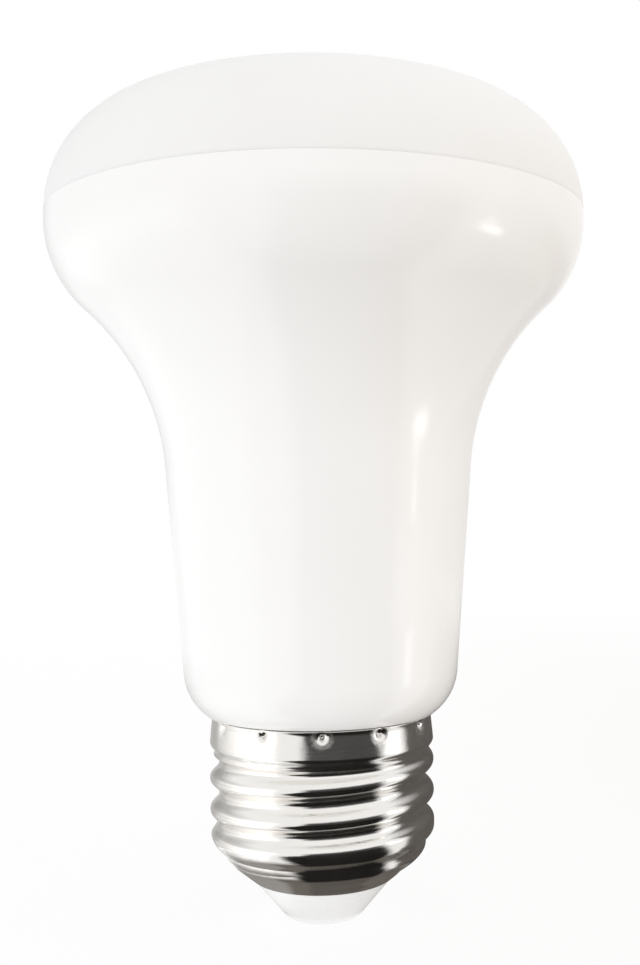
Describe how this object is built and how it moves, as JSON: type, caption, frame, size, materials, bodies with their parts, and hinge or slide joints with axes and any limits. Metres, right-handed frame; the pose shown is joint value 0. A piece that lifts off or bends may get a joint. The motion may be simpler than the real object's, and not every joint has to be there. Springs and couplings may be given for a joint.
{
  "type": "reflector bulb",
  "caption": "LED reflector lamp: opal dome on a flared white housing, with a rolled metal screw base, tail insulator and centre contact, for a threaded lamp holder.",
  "frame": {"origin": "centre of the centre contact's end face, the lowest point of the lamp", "axes": "+Z along the lamp's axis from the contact to the dome; X and Y square to it, with one crimp dimple on +X"},
  "size_m": [0.063, 0.063, 0.0979],
  "materials": {
    "opal_plastic": "satin",
    "housing_plastic": "gloss",
    "nickel_plate": "bright",
    "insulator_plastic": "satin",
    "contact_metal": "satin"
  },
  "bodies": {
    "root": {"diffuser_dome": "opal_plastic", "housing": "housing_plastic", "screw_shell": "nickel_plate", "tail_insulator": "insulator_plastic", "centre_contact": "contact_metal"}
  },
  "joints": []
}
